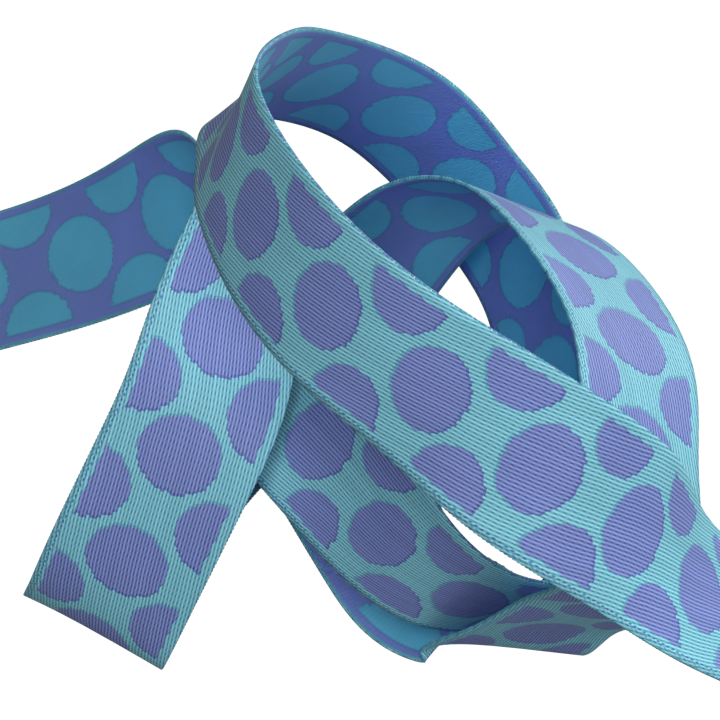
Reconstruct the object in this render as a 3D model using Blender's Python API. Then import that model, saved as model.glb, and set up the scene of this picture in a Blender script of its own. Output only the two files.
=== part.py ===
"""A cut length of woven ribbon, 22 mm wide, lying in loops on a table.

The ribbon is one sheet.  Its centre line is a smooth curve through the rows
of ROUTE, and the sheet spans that line from selvedge to selvedge.  The flat
grid is laid along the curve and then given its thickness.
"""

import bmesh
import bpy
import numpy as np

MM = 0.001
WIDTH = 22.0  # selvedge to selvedge, a 7/8 inch ribbon
THICKNESS = 1.0  # the woven band is about half of this
STEP = 2.2  # length of one grid cell along the ribbon
CELLS_ACROSS = 4

# One row for each place on the route, in order from the left cut end.
# x, y and z of the centre line in mm, z above the table's contact plane.
# turn is the compass direction in degrees of the line from the left selvedge
# to the stitched one, and rise is how steeply that line climbs.
ROUTE = [
    # name, x, y, z, turn, rise
    ("left_end", -74, 7, 0, 105, 0),
    ("left_flat", -57, 12, 0, 105, 0),
    ("ramp_low", -41, 15, 5, 105, 5),
    ("ramp_high", -28, 17, 14, 115, 20),
    ("curl_back", -17, 16, 25.5, 150, 35),
    ("curl_top", -13, 3, 37, 160, 30),
    ("fall_top", -17, -8, 38, 160, 30),
    ("fall_upper", -21, -22, 37, 160, 15),
    ("fall_middle", -25, -30, 33, 157, 10),
    ("fall_lower", -33, -42, 21, 157, 9),
    ("roll_front", -37.5, -44.3, 6, 151, 4),
    ("under_start", -35.4, -35, 0, 153, 0),
    ("under_middle", -28.2, -20.5, 0, 155, 0),
    ("under_end", -16.8, -7.2, 2, 157, 6),
    ("wall_low", -2, 5.5, 8, 163, 33),
    ("wall_high", 11, 14, 21, 180, 40),
    ("loop_back", 22, 9, 33, 180, 40),
    ("loop_top", 30, -3, 42, 185, 40),
    ("loop_right", 36, -18, 47, 185, 40),
    ("loop_front", 36.5, -35, 50, 190, 42),
    ("drop_top", 35.8, -50, 47, 187, 35),
    ("drop_middle", 32, -51, 32, 180, 30),
    ("drop_low", 25, -48.6, 17, 187, 28),
    ("small_roll", 20.6, -47.6, 8.4, 184, 24),
    ("tuck_front", 15.6, -41.6, 3.6, 204, 14),
    ("tuck_middle", 9.2, -38.3, 3.2, 212, 17),
    ("tuck_end", 4, -32, 4, 211, 18),
    ("small_back", -6, -15, 12, 208, -5),
    ("small_top", -10.5, -16, 27, 202, -15),
    ("small_fall", -5, -26.5, 31, 190, -32),
    ("small_middle", 3, -38.3, 28, 181, -43),
    ("small_low", 13, -45, 22, 180, -47),
    ("turn_right", 26.5, -43, 16, 183, -52),
    ("turn_up", 35, -28, 12, 180, -54),
    ("edge_low", 28, -8, 12, 180, -57),
    ("edge_far", 24, 10, 10.5, 188, -57),
    ("rise_low", 16, 22, 13, 182, -50),
    ("rise_middle", 5, 28, 25, 185, -45),
    ("rise_high", -6, 26, 38, 193, -40),
    ("over_back", -13, 18, 53, 205, -37),
    ("over_top", -15.4, 7.8, 66.3, 222, -44),
    ("arch_left", -16.8, -4.5, 78, 232, -55),
    ("arch_start", -13, -18, 85, 230, -55),
    ("arch_middle", -4, -32, 88, 228, -52),
    ("arch_right", 9, -43, 87, 228, -47),
    ("arch_end", 22, -51, 82, 232, -25),
    ("slope_top", 34, -54, 69, 245, -10),
    ("slope_low", 43, -56, 54, 265, 5),
    ("slope_foot", 54, -58, 42, 277, 13),
    ("right_end", 66, -59, 31, 280, 15),
]


def smooth(knots, values, places):
    """Natural cubic spline through values at knots, read at places."""
    gaps = np.diff(knots)
    slopes = np.diff(values, axis=0) / gaps[:, None]
    count = len(knots)
    system = np.eye(count)
    right = np.zeros_like(values)
    for i in range(1, count - 1):
        system[i, i - 1] = gaps[i - 1]
        system[i, i] = 2 * (gaps[i - 1] + gaps[i])
        system[i, i + 1] = gaps[i]
        right[i] = 6 * (slopes[i] - slopes[i - 1])
    bend = np.linalg.solve(system, right)
    cell = np.clip(np.searchsorted(knots, places) - 1, 0, count - 2)
    gap = gaps[cell][:, None]
    ahead = (knots[cell + 1] - places)[:, None]
    behind = (places - knots[cell])[:, None]
    curve = (bend[cell] * ahead**3 + bend[cell + 1] * behind**3) / (6 * gap)
    first = values[cell] / gap - bend[cell] * gap / 6
    last = values[cell + 1] / gap - bend[cell + 1] * gap / 6
    return curve + first * ahead + last * behind


def unit(vectors):
    return vectors / np.linalg.norm(vectors, axis=1)[:, None]


def laid_route(step):
    """Centre points and selvedge directions at equal steps of length."""
    centre = np.array([row[1:4] for row in ROUTE], float)
    turn = np.radians([row[4] for row in ROUTE])
    rise = np.radians([row[5] for row in ROUTE])
    across = np.stack(
        [np.cos(turn) * np.cos(rise), np.sin(turn) * np.cos(rise), np.sin(rise)], 1
    )
    chords = np.linalg.norm(np.diff(centre, axis=0), axis=1)
    knots = np.concatenate([[0], np.cumsum(chords)])
    fine = np.linspace(0, knots[-1], 8000)
    line = smooth(knots, centre, fine)
    run = np.concatenate([[0], np.cumsum(np.linalg.norm(np.diff(line, axis=0), axis=1))])
    count = int(round(run[-1] / step)) + 1
    places = np.interp(np.linspace(0, run[-1], count), run, fine)
    points = smooth(knots, centre, places)
    heading = unit(np.gradient(points, axis=0))
    sides = smooth(knots, across, places)
    sides -= (sides * heading).sum(1)[:, None] * heading
    return points, unit(sides), run[-1]


# ---- the solid


def ribbon():
    """The flat grid laid on the route, then made a solid sheet."""
    points, sides, length = laid_route(STEP)
    stations = len(points)
    mesh = bpy.data.meshes.new("ribbon")
    shape = bmesh.new()
    bmesh.ops.create_grid(
        shape,
        x_segments=stations - 1,
        y_segments=CELLS_ACROSS,
        size=0.5,
    )
    for vert in shape.verts:
        along = int(round((vert.co.x + 0.5) * (stations - 1)))
        place = points[along] + sides[along] * WIDTH * vert.co.y
        place[2] = max(place[2], 0.0)
        vert.co = place * MM
    low = np.array([vert.co for vert in shape.verts]).min(0)
    high = np.array([vert.co for vert in shape.verts]).max(0)
    middle = (low + high) / 2
    for vert in shape.verts:
        vert.co.x -= middle[0]
        vert.co.y -= middle[1]
        vert.co.z += THICKNESS * MM / 2
    shape.to_mesh(mesh)
    shape.free()
    sheet = bpy.data.objects.new("ribbon", mesh)
    bpy.context.scene.collection.objects.link(sheet)
    solid = sheet.modifiers.new("thickness", "SOLIDIFY")
    solid.thickness = THICKNESS * MM
    solid.offset = 0.0
    solid.use_even_offset = True
    return sheet


def woven():
    material = bpy.data.materials.new("woven_polyester")
    material.use_nodes = True
    shader = material.node_tree.nodes["Principled BSDF"]
    shader.inputs["Base Color"].default_value = (0.12, 0.34, 0.45, 1.0)
    shader.inputs["Roughness"].default_value = 0.6
    return material


for leftover in list(bpy.data.objects):
    bpy.data.objects.remove(leftover, do_unlink=True)

ribbon().data.materials.append(woven())
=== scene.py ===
"""Looks for a cut length of two-colour woven ribbon that lies in loose, rising loops."""

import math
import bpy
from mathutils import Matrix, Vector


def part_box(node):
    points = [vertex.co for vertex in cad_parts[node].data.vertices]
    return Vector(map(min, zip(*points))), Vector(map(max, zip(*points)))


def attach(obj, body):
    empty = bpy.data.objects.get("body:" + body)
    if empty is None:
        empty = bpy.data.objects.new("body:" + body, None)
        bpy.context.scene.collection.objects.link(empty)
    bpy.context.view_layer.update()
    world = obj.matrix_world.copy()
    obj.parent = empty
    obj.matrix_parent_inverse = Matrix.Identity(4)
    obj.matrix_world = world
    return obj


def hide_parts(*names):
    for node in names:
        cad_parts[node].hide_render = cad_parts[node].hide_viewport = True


bl_info = {
    "name": "Looped jacquard ribbon",
    "version": (1, 0, 0),
    "blender": (4, 5, 0),
    "location": "3D View > Sidebar > Ribbon",
    "description": "Lays a woven ribbon along its loops and gives it its weave",
    "category": "Object",
}

import bmesh
import bpy
import numpy as np
from mathutils import Vector

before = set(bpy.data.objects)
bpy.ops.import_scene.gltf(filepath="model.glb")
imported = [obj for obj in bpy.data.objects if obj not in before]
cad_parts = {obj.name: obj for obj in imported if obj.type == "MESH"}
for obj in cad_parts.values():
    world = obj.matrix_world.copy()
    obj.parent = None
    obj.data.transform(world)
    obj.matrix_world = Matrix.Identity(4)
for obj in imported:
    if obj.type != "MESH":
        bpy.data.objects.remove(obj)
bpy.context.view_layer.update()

MM = 0.001
BODY = "root"
CAD_NODE = "ribbon"

# One row for each place on the route, in order from the left cut end.
# x, y and z of the centre line in mm, z above the table's contact plane.
# turn is the compass direction in degrees of the line from the left selvedge
# to the stitched one, and rise is how steeply that line climbs.
ROUTE = [
    # name, x, y, z, turn, rise
    ("left_end", -74, 7, 0, 105, 0),
    ("left_flat", -57, 12, 0, 105, 0),
    ("ramp_low", -41, 15, 5, 105, 5),
    ("ramp_high", -28, 17, 14, 115, 20),
    ("curl_back", -17, 16, 25.5, 150, 35),
    ("curl_top", -13, 3, 37, 160, 30),
    ("fall_top", -17, -8, 38, 160, 30),
    ("fall_upper", -21, -22, 37, 160, 15),
    ("fall_middle", -25, -30, 33, 157, 10),
    ("fall_lower", -33, -42, 21, 157, 9),
    ("roll_front", -37.5, -44.3, 6, 151, 4),
    ("under_start", -35.4, -35, 0, 153, 0),
    ("under_middle", -28.2, -20.5, 0, 155, 0),
    ("under_end", -16.8, -7.2, 2, 157, 6),
    ("wall_low", -2, 5.5, 8, 163, 33),
    ("wall_high", 11, 14, 21, 180, 40),
    ("loop_back", 22, 9, 33, 180, 40),
    ("loop_top", 30, -3, 42, 185, 40),
    ("loop_right", 36, -18, 47, 185, 40),
    ("loop_front", 36.5, -35, 50, 190, 42),
    ("drop_top", 35.8, -50, 47, 187, 35),
    ("drop_middle", 32, -51, 32, 180, 30),
    ("drop_low", 25, -48.6, 17, 187, 28),
    ("small_roll", 20.6, -47.6, 8.4, 184, 24),
    ("tuck_front", 15.6, -41.6, 3.6, 204, 14),
    ("tuck_middle", 9.2, -38.3, 3.2, 212, 17),
    ("tuck_end", 4, -32, 4, 211, 18),
    ("small_back", -6, -15, 12, 208, -5),
    ("small_top", -10.5, -16, 27, 202, -15),
    ("small_fall", -5, -26.5, 31, 190, -32),
    ("small_middle", 3, -38.3, 28, 181, -43),
    ("small_low", 13, -45, 22, 180, -47),
    ("turn_right", 26.5, -43, 16, 183, -52),
    ("turn_up", 35, -28, 12, 180, -54),
    ("edge_low", 28, -8, 12, 180, -57),
    ("edge_far", 24, 10, 10.5, 188, -57),
    ("rise_low", 16, 22, 13, 182, -50),
    ("rise_middle", 5, 28, 25, 185, -45),
    ("rise_high", -6, 26, 38, 193, -40),
    ("over_back", -13, 18, 53, 205, -37),
    ("over_top", -15.4, 7.8, 66.3, 222, -44),
    ("arch_left", -16.8, -4.5, 78, 232, -55),
    ("arch_start", -13, -18, 85, 230, -55),
    ("arch_middle", -4, -32, 88, 228, -52),
    ("arch_right", 9, -43, 87, 228, -47),
    ("arch_end", 22, -51, 82, 232, -25),
    ("slope_top", 34, -54, 69, 245, -10),
    ("slope_low", 43, -56, 54, 265, 5),
    ("slope_foot", 54, -58, 42, 277, 13),
    ("right_end", 66, -59, 31, 280, 15),
]

# How far the pattern lies further along the band than the drawn route says, in mm, at some of the
# places.  The hidden turns really take a little more or less length than they are drawn with.
SLIDE = {
    "left_end": 0.0,
    "roll_front": -0.5,
    "wall_low": -4.0,
    "loop_right": -3.4,
    "drop_middle": 0.0,
    "small_roll": 1.0,
    "small_fall": 0.0,
    "small_low": 3.5,
    "edge_far": 1.5,
    "rise_middle": 4.0,
    "rise_high": 3.6,
    "arch_left": 2.0,
    "arch_middle": 3.2,
    "arch_end": 5.0,
    "slope_low": 3.2,
    "right_end": 3.2,
}


def hex_colour(text):
    """An sRGB hex value as linear red, green, blue and alpha."""
    channels = [int(text[i : i + 2], 16) / 255 for i in (1, 3, 5)]
    linear = [c / 12.92 if c <= 0.04045 else ((c + 0.055) / 1.055) ** 2.4 for c in channels]
    return (*linear, 1.0)


# ---- settings that a user would change


class RibbonSizes(bpy.types.PropertyGroup):
    """Real sizes of the woven band."""

    width: bpy.props.FloatProperty(
        name="Width", description="Selvedge to selvedge", default=22.0 * MM, unit="LENGTH"
    )
    thickness: bpy.props.FloatProperty(
        name="Thickness", description="Thickness of the woven band", default=0.5 * MM, unit="LENGTH"
    )
    repeat: bpy.props.FloatProperty(
        name="Repeat", description="Length of one pattern repeat", default=17.2 * MM, unit="LENGTH"
    )
    oval_across: bpy.props.FloatProperty(
        name="Oval across", description="Oval's size across the band", default=11.6 * MM, unit="LENGTH"
    )
    oval_along: bpy.props.FloatProperty(
        name="Oval along", description="Oval's size along the band", default=10.6 * MM, unit="LENGTH"
    )
    border: bpy.props.FloatProperty(
        name="Border", description="Plain stripe beside each selvedge", default=1.5 * MM, unit="LENGTH"
    )
    float_pitch: bpy.props.FloatProperty(
        name="Float pitch", description="From one surface yarn to the next", default=0.49 * MM, unit="LENGTH"
    )
    float_length: bpy.props.FloatProperty(
        name="Float length", description="From one tie-down to the next", default=1.05 * MM, unit="LENGTH"
    )
    float_slant: bpy.props.FloatProperty(
        name="Float slant",
        description="Angle of the surface yarns to the band's length",
        default=math.radians(10),
        subtype="ANGLE",
    )
    loop_pitch: bpy.props.FloatProperty(
        name="Edge loop pitch",
        description="From one weft loop on the selvedge to the next",
        default=0.62 * MM,
        unit="LENGTH",
    )


class RibbonColours(bpy.types.PropertyGroup):
    """Yarn colours."""

    turquoise: bpy.props.FloatVectorProperty(
        name="Turquoise", description="Face ground yarn", subtype="COLOR", size=4,
        default=hex_colour("#7fcfe0"),
    )
    # Seen in the gaps between the ground yarns, and also used as painted shade on each yarn's rounded sides
    # and where it dives.
    turquoise_gap_and_shade: bpy.props.FloatVectorProperty(
        name="Deep turquoise", description="Between the ground yarns", subtype="COLOR", size=4,
        default=hex_colour("#1a7ba6"),
    )
    # Painted highlight colour, laid on the crest of each ground yarn.
    turquoise_painted_highlight: bpy.props.FloatVectorProperty(
        name="Turquoise gleam", description="Crest of a ground yarn", subtype="COLOR", size=4,
        default=hex_colour("#d2f2f2"),
    )
    violet: bpy.props.FloatVectorProperty(
        name="Violet", description="Oval yarn", subtype="COLOR", size=4,
        default=hex_colour("#7c8ecf"),
    )
    # Seen in the gaps between the oval yarns, and also used as painted shade on each yarn's rounded sides and
    # where it dives.
    violet_gap_and_shade: bpy.props.FloatVectorProperty(
        name="Deep violet", description="Between the oval yarns", subtype="COLOR", size=4,
        default=hex_colour("#2e459f"),
    )
    # Painted highlight colour, laid on the crest of each oval yarn.
    violet_painted_highlight: bpy.props.FloatVectorProperty(
        name="Violet gleam", description="Crest of an oval yarn", subtype="COLOR", size=4,
        default=hex_colour("#bcc4ea"),
    )
    stitch: bpy.props.FloatVectorProperty(
        name="Stitch", description="Broken rows beside one selvedge", subtype="COLOR", size=4,
        default=hex_colour("#2c4c98"),
    )
    back_violet: bpy.props.FloatVectorProperty(
        name="Back violet", description="Ground on the back", subtype="COLOR", size=4,
        default=hex_colour("#6f84c6"),
    )
    back_teal: bpy.props.FloatVectorProperty(
        name="Back teal", description="Ovals on the back", subtype="COLOR", size=4,
        default=hex_colour("#5ab0ce"),
    )
    back_rim: bpy.props.FloatVectorProperty(
        name="Back rim", description="Thin line round the back ovals", subtype="COLOR", size=4,
        default=hex_colour("#2f6b96"),
    )
    back_selvedge: bpy.props.FloatVectorProperty(
        name="Back selvedge", description="Last yarns on the back", subtype="COLOR", size=4,
        default=hex_colour("#5aa3b8"),
    )
    loop_turquoise: bpy.props.FloatVectorProperty(
        name="Turquoise loops", description="Weft loops on the selvedge", subtype="COLOR", size=4,
        default=hex_colour("#5caabd"),
    )
    loop_violet: bpy.props.FloatVectorProperty(
        name="Violet loops", description="The odd weft loop in violet", subtype="COLOR", size=4,
        default=hex_colour("#6b86b8"),
    )


class StageSizes(bpy.types.PropertyGroup):
    """Camera and floor."""

    elevation: bpy.props.FloatProperty(
        name="Elevation", description="Camera's height angle", default=math.radians(66), subtype="ANGLE"
    )
    distance: bpy.props.FloatProperty(
        name="Distance", description="From camera to aim point", default=500 * MM, unit="LENGTH"
    )
    lens: bpy.props.FloatProperty(
        name="Lens", description="Focal length in mm", default=168.75, unit="CAMERA"
    )
    light: bpy.props.FloatProperty(
        name="Light", description="Strength of all the softboxes", default=1.0, subtype="FACTOR"
    )


# ---- the route

FINE_STEPS = 8000  # samples of the whole route, from which the equal steps are picked


def smooth(knots, values, places):
    """Natural cubic spline through values at knots, read at places."""
    gaps = np.diff(knots)
    slopes = np.diff(values, axis=0) / gaps[:, None]
    count = len(knots)
    system = np.eye(count)
    right = np.zeros_like(values)
    for i in range(1, count - 1):
        system[i, i - 1] = gaps[i - 1]
        system[i, i] = 2 * (gaps[i - 1] + gaps[i])
        system[i, i + 1] = gaps[i]
        right[i] = 6 * (slopes[i] - slopes[i - 1])
    bend = np.linalg.solve(system, right)
    cell = np.clip(np.searchsorted(knots, places) - 1, 0, count - 2)
    gap = gaps[cell][:, None]
    ahead = (knots[cell + 1] - places)[:, None]
    behind = (places - knots[cell])[:, None]
    curve = (bend[cell] * ahead**3 + bend[cell + 1] * behind**3) / (6 * gap)
    first = values[cell] / gap - bend[cell] * gap / 6
    last = values[cell + 1] / gap - bend[cell + 1] * gap / 6
    return curve + first * ahead + last * behind


def unit(vectors):
    return vectors / np.linalg.norm(vectors, axis=1)[:, None]


def laid_route(step):
    """At equal steps of length: centre points, selvedge directions and the pattern's place, in metres."""
    centre = np.array([row[1:4] for row in ROUTE], float)
    turn = np.radians([row[4] for row in ROUTE])
    rise = np.radians([row[5] for row in ROUTE])
    across = np.stack([np.cos(turn) * np.cos(rise), np.sin(turn) * np.cos(rise), np.sin(rise)], 1)
    chords = np.linalg.norm(np.diff(centre, axis=0), axis=1)
    knots = np.concatenate([[0], np.cumsum(chords)])
    fine = np.linspace(0, knots[-1], FINE_STEPS)
    line = smooth(knots, centre, fine)
    run = np.concatenate([[0], np.cumsum(np.linalg.norm(np.diff(line, axis=0), axis=1))])
    count = int(round(run[-1] * MM / step)) + 1
    lengths = np.linspace(0, run[-1], count)
    places = np.interp(lengths, run, fine)
    points = smooth(knots, centre, places)
    heading = unit(np.gradient(points, axis=0))
    sides = smooth(knots, across, places)
    sides -= (sides * heading).sum(1)[:, None] * heading
    slid_at = [np.interp(knot, fine, run) for knot, row in zip(knots, ROUTE) if row[0] in SLIDE]
    pattern = lengths + np.interp(lengths, slid_at, list(SLIDE.values()))
    return points * MM, unit(sides), pattern * MM


def route_shift(points, sides, width):
    """From the route's own coordinates to the frame's.

    The middle of the band's box goes to the middle of the CAD box.
    """
    edges = np.concatenate([points + sides * width / 2, points - sides * width / 2])
    low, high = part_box(CAD_NODE)
    middle = (np.array(low) + np.array(high)) / 2
    shift = middle - (edges.min(0) + edges.max(0)) / 2
    shift[2] = 0.0
    return shift


# ---- nodes


def add(tree, kind, links=None, **settings):
    """Adds a node, gives it its settings and links or values, and returns it."""
    node = tree.nodes.new("ShaderNode" + kind)
    for name, value in settings.items():
        setattr(node, name, value)
    for name, value in (links or {}).items():
        if isinstance(value, bpy.types.Node):
            value = next(out for out in value.outputs if out.enabled)
        if isinstance(value, bpy.types.NodeSocket):
            tree.links.new(value, node.inputs[name])
        else:
            node.inputs[name].default_value = value
    return node


def new_material(name):
    material = bpy.data.materials.new(name)
    material.use_nodes = True
    return material, material.node_tree, material.node_tree.nodes["Principled BSDF"]


OVAL_LEAN = 0.26  # an oval is turned by up to this angle either way, in radians
OVAL_SHRINK = (1.03, 0.96)  # and is smaller or larger by up to these factors
BORDER_DEPTH = 6.0  # a place this many mm inside the plain border counts as an oval's middle


def oval_depth(tree, sizes, place):
    """How far a place on the cloth is inside an oval: 1 in its middle, 0 on its outline, less outside.

    Whole ovals stand on the centre line.  Between them stand ovals that the plain border cuts in half.
    """
    repeat = sizes.repeat / MM
    edge = (sizes.width / 2 - sizes.border) / MM
    half = (sizes.oval_across / MM / 2, sizes.oval_along / MM / 2, 1)
    parts = add(tree, "SeparateXYZ", {0: place})
    out = add(tree, "Math", {0: parts.outputs["X"]}, operation="ABSOLUTE")
    from_border = add(tree, "Math", {0: out, 1: edge}, operation="SUBTRACT")
    side = add(tree, "Math", {0: parts.outputs["X"]}, operation="SIGN")
    ovals = []
    # The whole ovals, then the cut ones, which differ from side to side.
    for start, across, sign in ((0.0, parts.outputs["X"], 0.0), (repeat / 2, from_border, side)):
        moved = add(tree, "Math", {0: parts.outputs["Y"], 1: start}, operation="ADD")
        along = add(tree, "Math", {0: moved, 1: repeat / 2, 2: -repeat / 2}, operation="WRAP")
        count = add(tree, "Math", {0: moved, 1: repeat}, operation="DIVIDE")
        index = add(tree, "Math", {0: count}, operation="ROUND")
        seed = add(tree, "Math", {0: sign, 1: 0.3, 2: index}, operation="MULTIPLY_ADD")
        chance = add(tree, "TexWhiteNoise", {"W": seed}, noise_dimensions="1D")
        lean = add(
            tree, "MapRange", {"Value": chance.outputs["Value"], "To Min": -OVAL_LEAN, "To Max": OVAL_LEAN}
        )
        most, least = OVAL_SHRINK
        shrink = add(tree, "MapRange", {"Value": chance.outputs["Value"], "To Min": most, "To Max": least})
        from_middle = add(tree, "CombineXYZ", {"X": across, "Y": along})
        turned = add(tree, "VectorRotate", {"Vector": from_middle, "Angle": lean}, rotation_type="Z_AXIS")
        shares = add(tree, "VectorMath", {0: turned, 1: half}, operation="DIVIDE")
        reach = add(tree, "VectorMath", {0: shares}, operation="LENGTH")
        shrunk = add(tree, "Math", {0: reach.outputs["Value"], 1: shrink}, operation="MULTIPLY")
        ovals.append(add(tree, "Math", {0: 1.0, 1: shrunk}, operation="SUBTRACT"))
    deepest = add(tree, "Math", {0: ovals[0], 1: ovals[1]}, operation="MAXIMUM")
    inside_border = add(tree, "Math", {0: from_border, 1: -BORDER_DEPTH}, operation="DIVIDE")
    return add(tree, "Math", {0: deepest, 1: inside_border}, operation="MINIMUM")


# How the face's gaps are drawn, in shares of the float length.
DASH_STEP = 0.1  # each row of dashes starts this much further along than the row beside it
DASH_STRAY = 0.2  # and strays by up to this much more
DASH_LEAN = -0.9  # a dash slips this far along over one yarn's width

# How a surface yarn changes colour at an outline.
TOOTH = 0.55  # ends are uneven by this much along the yarn, in mm
TOOTH_BACK = 0.28  # of which this much lies back from the outline, in mm
TOOTH_WIDTH = 0.65  # share of a yarn's width that changes in one go
DIVE_SHADE_REACH = 0.4  # a yarn is painted darker, as shade where it dives, this far ahead of its change, in mm

# Rows of short slanting stitches beside one selvedge, out of step.  The inner row is the darker one.
STITCHES = [
    # mm in from the selvedge, start in beats, slope, strength
    (0.8, 0.0, 0.9, 0.75),
    (0.42, 0.5, -0.9, 0.45),
]
STITCH_BEAT = 0.85  # from one stitch to the next, in mm
STITCH_REACH = 0.12  # half the width of a row, in mm


def face_material(sizes, colours):
    """Polyester jacquard, woven with long face floats and pressed.

    It gives the eye slanting rows of light yarns with short dark dashes between them, a saw-toothed
    outline round each oval, painted shade on the yarns' sides and where they dive, a painted highlight
    on each yarn's crest, painted sheen patches and a broad satin shine.
    """
    material, tree, shader = new_material("polyester_jacquard_face")
    pitch = sizes.float_pitch / MM
    length = sizes.float_length / MM
    lay = add(tree, "UVMap", uv_map="lay")
    # In millimetres, turned so that x crosses the surface yarns and y runs along them.
    turned = add(
        tree, "Mapping", {"Vector": lay, "Rotation": (0, 0, -sizes.float_slant), "Scale": (1000, 1000, 1)}
    )
    place = add(tree, "SeparateXYZ", {0: turned})
    drift = add(tree, "TexNoise", {"Vector": lay, "Scale": 110.0, "Detail": 4.0, "Roughness": 0.62})
    wander = add(tree, "MapRange", {"Value": drift, "To Min": -0.3, "To Max": 0.3})
    crossing = add(tree, "Math", {0: place.outputs["X"], 1: wander}, operation="ADD")
    over = add(tree, "Math", {0: crossing, 1: pitch}, operation="DIVIDE")
    down = add(tree, "Math", {0: place.outputs["Y"], 1: length}, operation="DIVIDE")

    # Each gap between two yarns is a row of pointed, leaning dashes.
    gap = add(tree, "Math", {0: over}, operation="ROUND")
    aside = add(tree, "Math", {0: over, 1: gap}, operation="SUBTRACT")
    off_gap = add(tree, "Math", {0: aside}, operation="ABSOLUTE")
    slip = add(tree, "TexWhiteNoise", {"W": gap}, noise_dimensions="1D")
    step = add(tree, "Math", {0: gap, 1: DASH_STEP, 2: down}, operation="MULTIPLY_ADD")
    slipped = add(tree, "Math", {0: slip.outputs["Value"], 1: DASH_STRAY, 2: step}, operation="MULTIPLY_ADD")
    phase = add(tree, "Math", {0: aside, 1: DASH_LEAN, 2: slipped}, operation="MULTIPLY_ADD")
    reach = add(tree, "Math", {0: phase, 1: 0.5}, operation="PINGPONG")
    closing = add(tree, "Math", {0: reach, 1: 2.0}, operation="POWER")
    opening = add(tree, "Math", {0: closing, 1: 1.5, 2: off_gap}, operation="MULTIPLY_ADD")
    dash = add(
        tree,
        "MapRange",
        {"Value": opening, "From Min": 0.03, "From Max": 0.21},
        interpolation_type="SMOOTHSTEP",
    )
    # Painted shade: each yarn fades towards the deep colour at its sides, as a round yarn shades.
    round_yarn_shade = add(
        tree, "MapRange", {"Value": off_gap, "From Max": 0.4, "To Min": 0.55}, interpolation_type="SMOOTHSTEP"
    )
    crown = add(tree, "Math", {0: dash, 1: round_yarn_shade}, operation="MULTIPLY")

    # Painted highlight: the crest of each yarn is painted paler, most where the next yarn is tied down.
    crest = add(
        tree,
        "MapRange",
        {"Value": off_gap, "From Min": 0.26, "From Max": 0.46},
        interpolation_type="SMOOTHSTEP",
    )
    lit = add(tree, "Math", {0: reach, 1: 0.7, 2: 0.25}, operation="MULTIPLY_ADD")
    gleam = add(tree, "Math", {0: crest, 1: lit}, operation="MULTIPLY")

    # A yarn changes colour nearly in one go, so an outline is toothed, one tooth to a yarn.
    yarn = add(tree, "Math", {0: over}, operation="FLOOR")
    chance = add(tree, "TexWhiteNoise", {"W": yarn}, noise_dimensions="1D")
    middle = add(tree, "Math", {0: yarn, 1: pitch, 2: pitch / 2}, operation="MULTIPLY_ADD")
    off_middle = add(tree, "Math", {0: crossing, 1: middle}, operation="SUBTRACT")
    near_middle = add(
        tree, "Math", {0: off_middle, 1: -TOOTH_WIDTH, 2: place.outputs["X"]}, operation="MULTIPLY_ADD"
    )
    uneven = add(
        tree, "Math", {0: chance.outputs["Value"], 1: TOOTH, 2: place.outputs["Y"]}, operation="MULTIPLY_ADD"
    )
    changes = []
    for ahead in (0.0, DIVE_SHADE_REACH):
        further = add(tree, "Math", {0: uneven, 1: ahead - TOOTH_BACK}, operation="ADD")
        on_yarn = add(tree, "CombineXYZ", {"X": near_middle, "Y": further})
        on_cloth = add(tree, "Mapping", {"Vector": on_yarn, "Rotation": (0, 0, sizes.float_slant)})
        depth = oval_depth(tree, sizes, on_cloth)
        changes.append(add(tree, "Math", {0: depth, 1: 0.0}, operation="GREATER_THAN"))
    in_oval = changes[0]
    differs = add(tree, "Math", {0: changes[1], 1: in_oval}, operation="SUBTRACT")
    diving = add(tree, "Math", {0: differs}, operation="ABSOLUTE")

    # Deep colour in the gaps, painted shade on each yarn's rounded sides and where it dives, full colour on
    # its crest.
    # Painted shade: where a yarn dives, its mix moves halfway towards the deep colour.
    up = add(tree, "Math", {0: diving, 1: -0.5, 2: 1.0}, operation="MULTIPLY_ADD")
    shown = add(tree, "Math", {0: crown, 1: up}, operation="MULTIPLY")
    ground = add(
        tree, "MixRGB", {"Fac": shown, "Color1": colours.turquoise_gap_and_shade[:], "Color2": colours.turquoise[:]}
    )
    oval = add(tree, "MixRGB", {"Fac": shown, "Color1": colours.violet_gap_and_shade[:], "Color2": colours.violet[:]})
    cloth = add(tree, "MixRGB", {"Fac": in_oval, "Color1": ground, "Color2": oval})
    painted_highlight_colour = add(
        tree,
        "MixRGB",
        {"Fac": in_oval, "Color1": colours.turquoise_painted_highlight[:], "Color2": colours.violet_painted_highlight[:]},
    )
    cloth = add(tree, "MixRGB", {"Fac": gleam, "Color1": cloth, "Color2": painted_highlight_colour})

    parts = add(tree, "SeparateXYZ", {0: lay})
    for inwards, start, slope, strength in STITCHES:
        middle_of_row = sizes.width / 2 - inwards * MM
        off_row = add(tree, "Math", {0: parts.outputs["X"], 1: middle_of_row}, operation="SUBTRACT")
        row = add(tree, "Math", {0: off_row, 1: 0.0, 2: STITCH_REACH * MM}, operation="COMPARE")
        leaning = add(tree, "Math", {0: off_row, 1: slope, 2: parts.outputs["Y"]}, operation="MULTIPLY_ADD")
        beat = add(tree, "Math", {0: leaning, 1: 1 / (STITCH_BEAT * MM), 2: start}, operation="MULTIPLY_ADD")
        part_beat = add(tree, "Math", {0: beat}, operation="FRACT")
        on_beat = add(tree, "Math", {0: part_beat, 1: 0.5}, operation="LESS_THAN")
        stitch = add(tree, "Math", {0: row, 1: on_beat}, operation="MULTIPLY")
        share = add(tree, "Math", {0: stitch, 1: strength}, operation="MULTIPLY")
        cloth = add(tree, "MixRGB", {"Fac": share, "Color1": cloth, "Color2": colours.stitch[:]})

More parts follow.
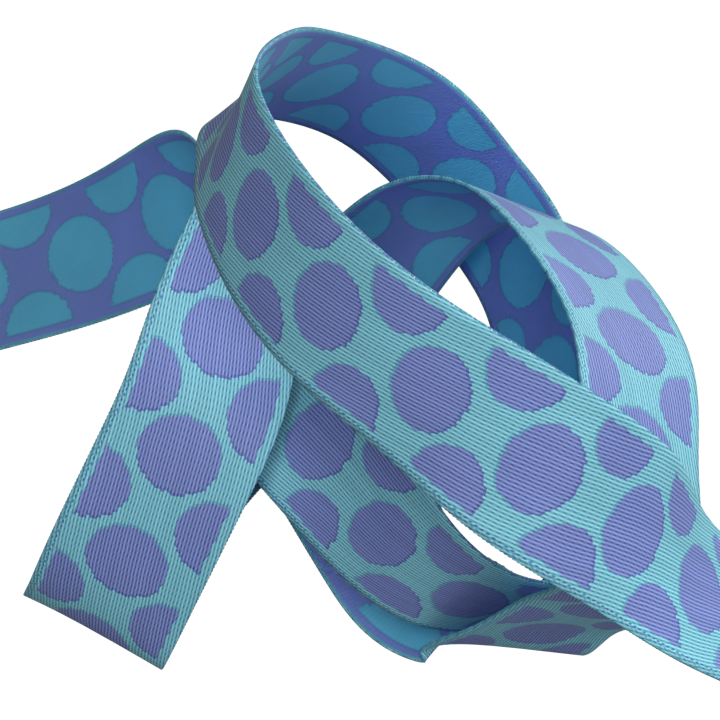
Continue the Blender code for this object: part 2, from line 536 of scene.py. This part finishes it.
    # Random tone differences from yarn to yarn, and painted sheen: larger patches painted lighter and darker,
    # as the satin's bands of light.
    patch = add(tree, "TexNoise", {"Vector": lay, "Scale": 45.0, "Detail": 3.0})
    shade = add(
        tree, "MapRange", {"Value": patch, "From Min": 0.3, "From Max": 0.7, "To Min": 0.90, "To Max": 1.06}
    )
    yarn_shade = add(tree, "Math", {0: chance.outputs["Value"], 1: 0.10, 2: shade}, operation="MULTIPLY_ADD")
    cloth = add(tree, "HueSaturation", {"Color": cloth, "Value": yarn_shade})
    tree.links.new(cloth.outputs[0], shader.inputs["Base Color"])

    height = add(tree, "Math", {0: diving, 1: -0.6, 2: crown}, operation="MULTIPLY_ADD")
    bump = add(tree, "Bump", {"Height": height, "Strength": 0.5, "Distance": 0.1 * MM})
    tree.links.new(bump.outputs[0], shader.inputs["Normal"])
    shader.inputs["Roughness"].default_value = 0.5
    shader.inputs["Specular IOR Level"].default_value = 0.3
    shader.inputs["Sheen Weight"].default_value = 0.05
    shader.inputs["Sheen Roughness"].default_value = 0.4
    return material


def back_material(sizes, colours):
    """The back of the same cloth, where the short floats of both wefts show.

    It gives the eye a matter, finer surface with the colours the other way round, soft outlines, a
    thin dark rim round each oval and a bright rim at the selvedges.
    """
    material, tree, shader = new_material("polyester_jacquard_back")
    lay = add(tree, "UVMap", uv_map="lay")
    cloth_mm = add(tree, "VectorMath", {0: lay, 1: (1000, 1000, 1)}, operation="MULTIPLY")
    fuzz = add(tree, "TexNoise", {"Vector": lay, "Scale": 1300.0, "Detail": 1.0})
    astray = add(tree, "MapRange", {"Value": fuzz, "To Min": -0.7, "To Max": 0.7})
    along_only = add(tree, "CombineXYZ", {"Y": astray})
    place = add(tree, "VectorMath", {0: cloth_mm, 1: along_only}, operation="ADD")
    depth = oval_depth(tree, sizes, place)
    in_oval = add(
        tree,
        "MapRange",
        {"Value": depth, "From Min": -0.03, "From Max": 0.05},
        interpolation_type="SMOOTHSTEP",
    )
    cloth = add(
        tree, "MixRGB", {"Fac": in_oval, "Color1": colours.back_violet[:], "Color2": colours.back_teal[:]}
    )
    off_outline = add(tree, "Math", {0: depth}, operation="ABSOLUTE")
    rim = add(tree, "MapRange", {"Value": off_outline, "From Max": 0.06, "To Min": 0.38, "To Max": 0.0})
    cloth = add(tree, "MixRGB", {"Fac": rim, "Color1": cloth, "Color2": colours.back_rim[:]})
    parts = add(tree, "SeparateXYZ", {0: lay})
    out = add(tree, "Math", {0: parts.outputs["X"]}, operation="ABSOLUTE")
    selvedge = add(tree, "Math", {0: out, 1: sizes.width / 2 - 0.4 * MM}, operation="GREATER_THAN")
    cloth = add(tree, "MixRGB", {"Fac": selvedge, "Color1": cloth, "Color2": colours.back_selvedge[:]})
    # Weft lines lie square to the band; drawn at 0.4 mm, twice as coarse as woven, so that they show.
    weft = add(
        tree,
        "TexWave",
        {"Vector": lay, "Scale": 0.314 / (0.4 * MM), "Distortion": 1.5, "Detail": 2.0, "Detail Scale": 0.3},
        bands_direction="Y",
    )
    patch = add(tree, "TexNoise", {"Vector": lay, "Scale": 90.0, "Detail": 5.0})
    shade = add(
        tree, "MapRange", {"Value": patch, "From Min": 0.3, "From Max": 0.7, "To Min": 0.90, "To Max": 1.04}
    )
    tone = add(tree, "Math", {0: weft.outputs["Fac"], 1: 0.07, 2: shade}, operation="MULTIPLY_ADD")
    cloth = add(tree, "HueSaturation", {"Color": cloth, "Value": tone})
    tree.links.new(cloth.outputs[0], shader.inputs["Base Color"])
    height = add(tree, "Math", {0: rim, 1: -1.5, 2: weft.outputs["Fac"]}, operation="MULTIPLY_ADD")
    bump = add(tree, "Bump", {"Height": height, "Strength": 0.35, "Distance": 0.05 * MM})
    tree.links.new(bump.outputs[0], shader.inputs["Normal"])
    # Light that falls on the face comes through the thin cloth and softens the back's outlines.
    shader.inputs["Subsurface Weight"].default_value = 1.0
    shader.inputs["Subsurface Radius"].default_value = (0.3, 0.5, 0.6)
    shader.inputs["Subsurface Scale"].default_value = 2.0 * MM
    shader.inputs["Roughness"].default_value = 0.65
    shader.inputs["Specular IOR Level"].default_value = 0.3
    shader.inputs["Sheen Weight"].default_value = 0.05
    shader.inputs["Sheen Roughness"].default_value = 0.5
    return material


def edge_material(sizes, colours):
    """The polyester weft where it turns round the outermost warp.

    It gives the eye a row of small bright turquoise beads, with a violet one here and there.
    """
    material, tree, shader = new_material("polyester_weft_loops")
    lay = add(tree, "UVMap", uv_map="lay")
    parts = add(tree, "SeparateXYZ", {0: lay})
    count = add(tree, "Math", {0: parts.outputs["Y"], 1: sizes.loop_pitch}, operation="DIVIDE")
    bead = add(tree, "Math", {0: count}, operation="FLOOR")
    chance = add(tree, "TexWhiteNoise", {"W": bead}, noise_dimensions="1D")
    stitched_side = add(tree, "Math", {0: parts.outputs["X"], 1: 0.0}, operation="GREATER_THAN")
    share = add(tree, "Math", {0: stitched_side, 1: -0.25, 2: 0.4}, operation="MULTIPLY_ADD")
    is_violet = add(tree, "Math", {0: chance.outputs["Value"], 1: share}, operation="LESS_THAN")
    thread = add(
        tree,
        "MixRGB",
        {"Fac": is_violet, "Color1": colours.loop_turquoise[:], "Color2": colours.loop_violet[:]},
    )
    tree.links.new(thread.outputs[0], shader.inputs["Base Color"])
    shader.inputs["Roughness"].default_value = 0.55
    return material


# ---- pieces


CELL_ALONG = 0.8 * MM
CELLS_ACROSS = 26
BEAD_ALONG = 0.5  # half-length of a selvedge loop, as a share of the loop pitch
BEAD_OUT = 0.25  # how far it stands out, as a share of the band's thickness
BEAD_UP = 0.5  # and its half-height, as the same share


def band_point(points, sides, width, shift, thickness, along, share):
    """A place on the middle of the band's thickness; share runs from -0.5 to 0.5 across."""
    place = points[along] + sides[along] * width * share
    place[2] = max(place[2], 0.0)
    return place + shift + np.array([0, 0, thickness / 2])


class RIBBON_OT_lay(bpy.types.Operator):
    """Lay the woven band along its route"""

    bl_idname = "ribbon.lay"
    bl_label = "Lay the ribbon"

    def execute(self, context):
        sizes = context.scene.ribbon_sizes
        colours = context.scene.ribbon_colours
        points, sides, pattern = laid_route(CELL_ALONG)
        shift = route_shift(points, sides, sizes.width)
        stations = len(points)
        shape = bmesh.new()
        bmesh.ops.create_grid(shape, x_segments=stations - 1, y_segments=CELLS_ACROSS, size=0.5)
        lay = shape.loops.layers.uv.new("lay")
        for face in shape.faces:
            face.smooth = True
            for loop in face.loops:
                flat = loop.vert.co
                along = int(round((flat.x + 0.5) * (stations - 1)))
                loop[lay].uv = (flat.y * sizes.width, pattern[along])
        for vert in shape.verts:
            along = int(round((vert.co.x + 0.5) * (stations - 1)))
            vert.co = band_point(points, sides, sizes.width, shift, sizes.thickness, along, vert.co.y)
        bmesh.ops.reverse_faces(shape, faces=shape.faces)
        mesh = bpy.data.meshes.new("woven_band")
        shape.to_mesh(mesh)
        shape.free()
        band = bpy.data.objects.new("woven_band", mesh)
        context.scene.collection.objects.link(band)
        face = face_material(sizes, colours)
        back = back_material(sizes, colours)
        for material in (face, back):
            band.data.materials.append(material)
        solid = band.modifiers.new("thickness", "SOLIDIFY")
        solid.thickness = sizes.thickness
        solid.offset = 0.0
        solid.material_offset = 1
        solid.material_offset_rim = 0
        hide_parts(CAD_NODE)
        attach(band, BODY)
        return {"FINISHED"}


class RIBBON_OT_selvedges(bpy.types.Operator):
    """Add the small weft loops along both selvedges"""

    bl_idname = "ribbon.selvedges"
    bl_label = "Add the selvedge loops"

    def execute(self, context):
        sizes = context.scene.ribbon_sizes
        points, sides, _ = laid_route(sizes.loop_pitch)
        shift = route_shift(points, sides, sizes.width)
        heading = unit(np.gradient(points, axis=0))
        shape = bmesh.new()
        lay = shape.loops.layers.uv.new("lay")
        for share in (-0.5, 0.5):
            for along in range(len(points)):
                made = bmesh.ops.create_icosphere(shape, subdivisions=1, radius=1.0)["verts"]
                out = sides[along] * math.copysign(1.0, share)
                up = np.cross(heading[along], out)
                centre = band_point(points, sides, sizes.width, shift, sizes.thickness, along, share)
                axes = np.stack(
                    [
                        heading[along] * sizes.loop_pitch * BEAD_ALONG,
                        out * sizes.thickness * BEAD_OUT,
                        up * sizes.thickness * BEAD_UP,
                    ],
                    1,
                )
                for vert in made:
                    vert.co = axes @ np.array(vert.co) + centre
                for face in {face for vert in made for face in vert.link_faces}:
                    face.smooth = True
                    for loop in face.loops:
                        loop[lay].uv = (share * sizes.width, (along + 0.5) * sizes.loop_pitch)
        bmesh.ops.recalc_face_normals(shape, faces=shape.faces)
        mesh = bpy.data.meshes.new("selvedge_loops")
        shape.to_mesh(mesh)
        shape.free()
        loops = bpy.data.objects.new("selvedge_loops", mesh)
        context.scene.collection.objects.link(loops)
        loops.data.materials.append(edge_material(sizes, context.scene.ribbon_colours))
        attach(loops, BODY)
        return {"FINISHED"}


FLOOR_REACH = 3.0  # from the middle of the floor to its edge
ROOM_LIGHT = 0.14
SOFTBOXES = [
    # name, place in metres, side in metres, watts
    ("key_softbox", (0.78, 0.0, 0.62), 0.6, 2.4),
    ("front_softbox", (0.6, -0.72, 0.33), 0.45, 1.7),
    ("overhead_softbox", (-0.1, -0.2, 0.95), 0.4, 4.2),
    ("back_softbox", (0.65, 0.73, 0.24), 0.45, 5.0),
]


class RIBBON_OT_stage(bpy.types.Operator):
    """Make the floor, the soft lights and the camera"""

    bl_idname = "ribbon.stage"
    bl_label = "Make the stage"

    def execute(self, context):
        scene = context.scene
        stage = scene.ribbon_stage
        # Two sheets in one plane: a glowing white ground to look at, and plain card that throws light back.
        for name, glow in (("white_ground", 1.0), ("plain_card", 0.0)):
            shape = bmesh.new()
            bmesh.ops.create_grid(shape, x_segments=1, y_segments=1, size=FLOOR_REACH)
            mesh = bpy.data.meshes.new(name)
            shape.to_mesh(mesh)
            shape.free()
            floor = bpy.data.objects.new(name, mesh)
            scene.collection.objects.link(floor)
            material, _, shader = new_material(name)
            shader.inputs["Base Color"].default_value = hex_colour("#f0f0f0")
            shader.inputs["Roughness"].default_value = 0.9
            shader.inputs["Emission Color"].default_value = hex_colour("#ffffff")
            shader.inputs["Emission Strength"].default_value = glow
            floor.data.materials.append(material)
            floor.visible_camera = glow > 0
            floor.visible_diffuse = glow == 0
            floor.visible_glossy = glow == 0

        world = bpy.data.worlds.new("soft_room")
        world.use_nodes = True
        world.node_tree.nodes["Background"].inputs["Color"].default_value = (1, 1, 1, 1)
        world.node_tree.nodes["Background"].inputs["Strength"].default_value = ROOM_LIGHT
        scene.world = world
        scene.view_settings.view_transform = "Standard"
        for name, place, size, power in SOFTBOXES:
            lamp = bpy.data.lights.new(name, "AREA")
            lamp.size = size
            lamp.energy = power * stage.light
            light = bpy.data.objects.new(name, lamp)
            light.location = place
            light.rotation_euler = (-Vector(place)).to_track_quat("-Z", "Y").to_euler()
            scene.collection.objects.link(light)

        points, sides, _ = laid_route(CELL_ALONG)
        aim = Vector(route_shift(points, sides, scene.ribbon_sizes.width))
        away = Vector((0, -math.cos(stage.elevation), math.sin(stage.elevation)))
        lens = bpy.data.cameras.new("camera")
        lens.lens = stage.lens
        lens.sensor_width = 36
        camera = bpy.data.objects.new("camera", lens)
        camera.location = aim + away * stage.distance
        camera.rotation_euler = (math.pi / 2 - stage.elevation, 0, 0)
        scene.collection.objects.link(camera)
        scene.camera = camera
        return {"FINISHED"}


class RIBBON_PT_panel(bpy.types.Panel):
    """The pieces and their settings"""

    bl_idname = "RIBBON_PT_panel"
    bl_label = "Ribbon"
    bl_space_type = "VIEW_3D"
    bl_region_type = "UI"
    bl_category = "Ribbon"

    def draw(self, context):
        for group in (context.scene.ribbon_sizes, context.scene.ribbon_colours, context.scene.ribbon_stage):
            for name in group.__annotations__:
                self.layout.prop(group, name)
        for operator in OPERATORS:
            self.layout.operator(operator.bl_idname)


GROUPS = {"ribbon_sizes": RibbonSizes, "ribbon_colours": RibbonColours, "ribbon_stage": StageSizes}
OPERATORS = (RIBBON_OT_lay, RIBBON_OT_selvedges, RIBBON_OT_stage)


def register():
    for name, group in GROUPS.items():
        bpy.utils.register_class(group)
        setattr(bpy.types.Scene, name, bpy.props.PointerProperty(type=group))
    for kind in (*OPERATORS, RIBBON_PT_panel):
        bpy.utils.register_class(kind)


def unregister():
    for kind in (RIBBON_PT_panel, *OPERATORS[::-1]):
        bpy.utils.unregister_class(kind)
    for name, group in GROUPS.items():
        delattr(bpy.types.Scene, name)
        bpy.utils.unregister_class(group)


def main():
    register()
    bpy.ops.ribbon.lay()
    bpy.ops.ribbon.selvedges()
    bpy.ops.ribbon.stage()


if __name__ == "__main__":
    main()
